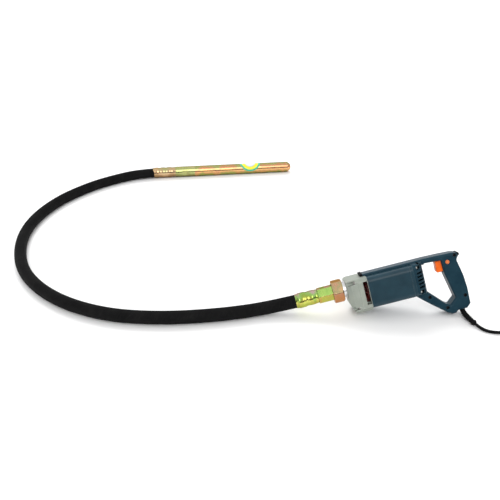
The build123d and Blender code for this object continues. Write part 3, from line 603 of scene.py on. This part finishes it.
def make_brush_springs(material):
    """Wire springs that press the brushes in."""
    # millimetres in the drive unit's own frame
    brush_x, inner_end, outer_end = 92.0, 22.9, 28.3
    coil_r, wire_r, turns, steps = 2.25, 0.32, 4.5, 24
    for name, side in (("near", -1), ("far", 1)):
        points = []
        for number in range(int(turns * steps) + 1):
            share = number / (turns * steps)
            angle = math.tau * turns * share
            reach = outer_end - wire_r + (inner_end - outer_end + 2 * wire_r) * share
            x = brush_x + coil_r * math.cos(angle)
            points.append(unit_point(x, side * reach, coil_r * math.sin(angle)))
        spring = swept_tube("spring_wire_" + name, points, lambda run: wire_r / 1000, material, 10)
        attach(spring, "tool")
        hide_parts("brush_spring_" + name)
        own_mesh(spring)


def make_lock_dome(material):
    """Round domed button with a shallow ring, on the near side of the grip."""
    face = unit_point(187.0, -18.5, 19.5)
    profile = [(0.0012, 0.00002), (0.0024, 0.0001), (0.0032, 0.0003), (0.0039, 0.0007), (0.0043, 0.0012),
               (0.0046, 0.0019), (0.0047, 0.0030), (0.0047, 0.0055), (0.0047, 0.0080)]
    rings = []
    for radius, depth in profile:
        ring = []
        for number in range(48):
            angle = math.tau * number / 48
            around = UNIT_X * math.cos(angle) + UNIT_Z * math.sin(angle)
            ring.append(face + UNIT_Y * depth + around * radius)
        rings.append(ring)
    dome = lofted("lock_dome", rings, material)
    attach(dome, "lock_body")
    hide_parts("lock_button")


# ---------------------------------------------------------------- sticker on the head
def make_sticker():
    """Oval film wrapped over the top of the head tube."""
    middle, half_length, half_arc, radius = 0.339, 0.036, math.radians(111), 0.01762
    centre_angle = math.radians(8)
    rings, spokes = 12, 64
    vertices, faces, uvs = [], [], []
    places = [(0.0, 0.0)]
    for ring in range(1, rings + 1):
        for spoke in range(spokes):
            angle = math.tau * spoke / spokes
            places.append((ring / rings * math.cos(angle), ring / rings * math.sin(angle)))
    for u, v in places:
        angle = centre_angle + v * half_arc
        out = HEAD_Y * math.sin(angle) + Vector((0.0, 0.0, 1.0)) * math.cos(angle)
        vertices.append(HEAD_ORIGIN + HEAD_X * (middle + u * half_length) + out * radius)
    for spoke in range(spokes):
        following = (spoke + 1) % spokes
        faces.append((0, 1 + spoke, 1 + following))
        for ring in range(rings - 1):
            inner = 1 + ring * spokes
            outer = inner + spokes
            faces.append((inner + spoke, outer + spoke, outer + following, inner + following))
    for face in faces:
        uvs += [places[index] for index in face]
    sticker = add_object("sticker_film", vertices, faces, sticker_material(), uvs)
    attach(sticker, "tool")


# ---------------------------------------------------------------- materials of the CAD nodes
def colour_nodes():
    """Give every CAD node its material, and hand back the three that other pieces share."""
    worn = (0.10, 0.16, 0.19)
    blue = casing_material("casing_plastic", (0.0068, 0.0300, 0.0455), (0.0105, 0.0400, 0.0585), worn, 0.32)
    handle = casing_material("handle_plastic", (0.0088, 0.0325, 0.0500), (0.0135, 0.0430, 0.0630), worn, 0.10)
    # zinc colour stops, ordered from surfaces facing down to surfaces facing up: painted sheen and painted
    # reflections over the yellow tint
    gold = [(0.08, (0.40, 0.42, 0.12)), (0.18, (0.64, 0.35, 0.14)), (0.40, (0.76, 0.44, 0.18)),
            (0.55, (0.66, 0.30, 0.15)), (0.74, (0.62, 0.34, 0.17)), (0.90, (0.42, 0.44, 0.17))]
    rose = [(0.20, (0.58, 0.26, 0.11)), (0.42, (0.62, 0.30, 0.20)), (0.58, (0.40, 0.34, 0.17)),
            (0.72, (0.66, 0.40, 0.22)), (0.88, (0.60, 0.36, 0.22))]
    mixed = [(0.08, (0.56, 0.56, 0.11)), (0.20, (0.66, 0.50, 0.12)), (0.32, (0.66, 0.34, 0.13)),
             (0.42, (0.42, 0.60, 0.15)), (0.74, (0.30, 0.52, 0.12)), (0.90, (0.62, 0.42, 0.36))]
    lime = [(0.14, (0.56, 0.62, 0.12)), (0.36, (0.60, 0.54, 0.12)), (0.52, (0.34, 0.46, 0.08)),
            (0.74, (0.34, 0.56, 0.16)), (0.92, (0.58, 0.44, 0.38))]
    straw = [(0.18, (0.42, 0.26, 0.13)), (0.40, (0.64, 0.42, 0.24)), (0.60, (0.66, 0.46, 0.26)),
             (0.78, (0.60, 0.44, 0.24)), (0.92, (0.50, 0.46, 0.22))]
    moss = [(0.18, (0.34, 0.32, 0.12)), (0.40, (0.42, 0.46, 0.17)), (0.62, (0.46, 0.48, 0.19)),
            (0.80, (0.48, 0.50, 0.20)), (0.92, (0.56, 0.50, 0.24))]
    nose = unit_point(-60, 0, SPINDLE_Z * 1000)
    # directions that the painted sheen of the zinc turns toward
    across_unit = (UNIT_Z + UNIT_Y * 0.4).normalized()
    across_head = (Vector((0, 0, 1)) + HEAD_Y * 0.4).normalized()
    zinc_head = zinc_material("zinc_head", HEAD_ORIGIN, HEAD_X, across_head, gold)
    zinc_joint = zinc_material("zinc_joint", HEAD_ORIGIN, HEAD_X, across_head, moss)
    zinc_crimp = zinc_material("zinc_crimp", HEAD_ORIGIN, HEAD_X, across_head, straw, crimp=0.0016)
    zinc_nut = zinc_material("zinc_nut", nose, UNIT_X, across_unit, rose, 0.40)
    zinc_fitting = zinc_material("zinc_fitting", nose, UNIT_X, across_unit, mixed)
    zinc_ferrule = zinc_material("zinc_ferrule", nose, UNIT_X, across_unit, lime, crimp=0.0016)
    bright = steel_material("bright_steel", (0.80, 0.81, 0.82), nose, UNIT_X)
    nose_steel = steel_material("nose_steel", (0.88, 0.89, 0.89), nose, UNIT_X, (0.22, 0.40))
    head_steel = steel_material("head_steel", (0.74, 0.75, 0.76), HEAD_ORIGIN, HEAD_X)
    dark_steel = steel_material("black_oxide", (0.030, 0.030, 0.033), nose, UNIT_Y, (0.40, 0.60))
    screw_steel = steel_material("dull_zinc", (0.30, 0.29, 0.27), nose, UNIT_X, (0.35, 0.55))
    cap_steel = steel_material("cap_steel", (0.50, 0.50, 0.48), nose, UNIT_X, (0.32, 0.50))
    brass = plain_material("brass", (0.72, 0.52, 0.20), (0.62, 0.42, 0.15), 0.28, 1.0, 900.0)
    black = plain_material("black_plastic", (0.012, 0.012, 0.013), (0.022, 0.022, 0.023), 0.5)
    rubber = plain_material("black_rubber", (0.003, 0.003, 0.0034), (0.007, 0.007, 0.0074), 0.62,
                            0.0, 1500.0, 0.08)
    carbon = plain_material("carbon", (0.020, 0.020, 0.021), (0.045, 0.045, 0.046), 0.48, 0.2, 1800.0)
    orange = plain_material("orange_plastic", (1.0, 0.165, 0.004), (0.90, 0.13, 0.003), 0.34,
                            0.0, 1500.0, 0.4)
    button = plain_material("button_plastic", (0.78, 0.20, 0.055), (0.68, 0.16, 0.04), 0.38,
                            0.0, 1500.0, 0.4)
    chosen = {
        alloy_material(): "gear_housing bearing_plate",
        blue: "motor_housing",
        handle: "handle_shell_near handle_shell_far",
        zinc_head: "head_tube head_tip",
        zinc_joint: "head_joint",
        zinc_crimp: "head_ferrule",
        zinc_nut: "coupling_nut",
        zinc_fitting: "hose_fitting",
        zinc_ferrule: "motor_ferrule",
        nose_steel: "spindle_nose thrust_ring",
        bright: "output_spindle spindle_bearing_front spindle_bearing_rear drive_tang armature_shaft "
                "output_gear motor_bearing_front motor_bearing_rear brush_spring_near brush_spring_far "
                "trigger_pin drive_cable",
        head_steel: "head_bearings bearing_spacer eccentric_shaft cable_end",
        dark_steel: "handle_screws",
        screw_steel: "gear_housing_screws",
        cap_steel: "cap_screws",
        laminated_material(): "stator_core armature_core",
        winding_material(): "field_coils armature_windings",
        brass: "brush_holders plug_pins commutator",
        carbon: "carbon_brush_near carbon_brush_far",
        black: "switch_body cord_clamp",
        plain_material("fan_nylon", (0.11, 0.006, 0.005), (0.06, 0.004, 0.003), 0.45): "fan",
        orange: "trigger",
        button: "lock_button",
        rubber: "rear_bumper spine_bumper head_seal inner_lead",
    }
    for material, names in chosen.items():
        for name in names.split():
            for material_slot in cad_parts[name].material_slots:
                material_slot.link = "OBJECT"
                material_slot.material = material
    return rubber, button, bright


# ---------------------------------------------------------------- floor and light
def make_floor():
    half = 80
    mesh = bpy.data.meshes.new("floor")
    corners = [(-half, -half, 0), (half, -half, 0), (half, half, 0), (-half, half, 0)]
    mesh.from_pydata(corners, [], [(0, 1, 2, 3)])
    paint = Paint("floor_paper", specular=0.0)
    paint.set(colour=paint.mix(paint.noise(3.0), (0.93, 0.93, 0.93), (0.95, 0.95, 0.95)), roughness=1.0)
    mesh.materials.append(paint.material)
    floor = bpy.data.objects.new("floor", mesh)
    floor.location = (0.0, 0.0, -0.0002)
    bpy.context.scene.collection.objects.link(floor)


def make_backdrop():
    """Ring of pale paper far away that only the camera sees, so that the floor has no dark horizon."""
    radius, height, sides = 75.0, 60.0, 96
    vertices, faces = [], []
    for number in range(sides):
        angle = math.tau * number / sides
        following = (number + 1) % sides
        for level in (-0.0002, height):
            vertices.append((radius * math.cos(angle), radius * math.sin(angle), level))
        faces.append((2 * number, 2 * following, 2 * following + 1, 2 * number + 1))
    paint = Paint("backdrop_paper", specular=0.0)
    glow = paint.mix(paint.noise(0.2), (0.97, 0.97, 0.97), (1.0, 1.0, 1.0))
    paint.set(**{"colour": (0.0, 0.0, 0.0, 1.0), "Emission Color": glow, "Emission Strength": 1.0})
    backdrop = add_object("backdrop", vertices, faces, paint.material)
    for ray in ("diffuse", "glossy", "transmission", "volume_scatter", "shadow"):
        setattr(backdrop, "visible_" + ray, False)


def make_sun():
    sun = bpy.data.lights.new("key", "SUN")
    sun.energy = 1.75
    sun.angle = math.radians(32)
    key = bpy.data.objects.new("key", sun)
    key.rotation_euler = (math.radians(-44), math.radians(-14), 0.0)
    key.visible_glossy = False
    bpy.context.scene.collection.objects.link(key)


def make_world():
    """Pale dome that darkens towards the floor, with one softbox high in front."""
    world = bpy.data.worlds.new("studio")
    world.use_nodes = True
    tree = world.node_tree
    background = tree.nodes["Background"]
    place = tree.nodes.new("ShaderNodeTexCoord")

    def toward(direction):
        """How far the sky faces a direction."""
        product = tree.nodes.new("ShaderNodeVectorMath")
        product.operation = "DOT_PRODUCT"
        product.inputs[1].default_value = direction
        tree.links.new(place.outputs["Generated"], product.inputs[0])
        return product.outputs["Value"]

    ramp = tree.nodes.new("ShaderNodeValToRGB")
    stops = [(0.0, 0.06), (0.08, 0.14), (0.20, 0.80), (0.60, 1.0)]
    while len(ramp.color_ramp.elements) < len(stops):
        ramp.color_ramp.elements.new(0.5)
    for element, (position, level) in zip(ramp.color_ramp.elements, stops):
        element.position = position
        element.color = (level, level, level, 1.0)
    tree.links.new(toward((0.0, 0.25, 1.0)), ramp.inputs["Fac"])
    glow = tree.nodes.new("ShaderNodeMapRange")
    for key, value in (("From Min", 0.90), ("From Max", 0.97), ("To Max", 2.6)):
        glow.inputs[key].default_value = value
    tree.links.new(toward((0.0, -0.766, 0.643)), glow.inputs["Value"])
    light = tree.nodes.new("ShaderNodeVectorMath")
    light.operation = "ADD"
    tree.links.new(ramp.outputs["Color"], light.inputs[0])
    tree.links.new(glow.outputs["Result"], light.inputs[1])
    tree.links.new(light.outputs["Vector"], background.inputs["Color"])
    background.inputs["Strength"].default_value = 0.95
    bpy.context.scene.world = world


make_camera()
rubber, button, bright = colour_nodes()
make_hose(bright)
relief = make_strain_relief(rubber)
plug = make_plug(rubber)
tie = make_tie()
make_lead()
make_brush_springs(bright)
make_lock_dome(button)
make_sticker()
make_floor()
make_backdrop()
make_sun()
make_world()
bpy.context.scene.view_settings.view_transform = "Standard"
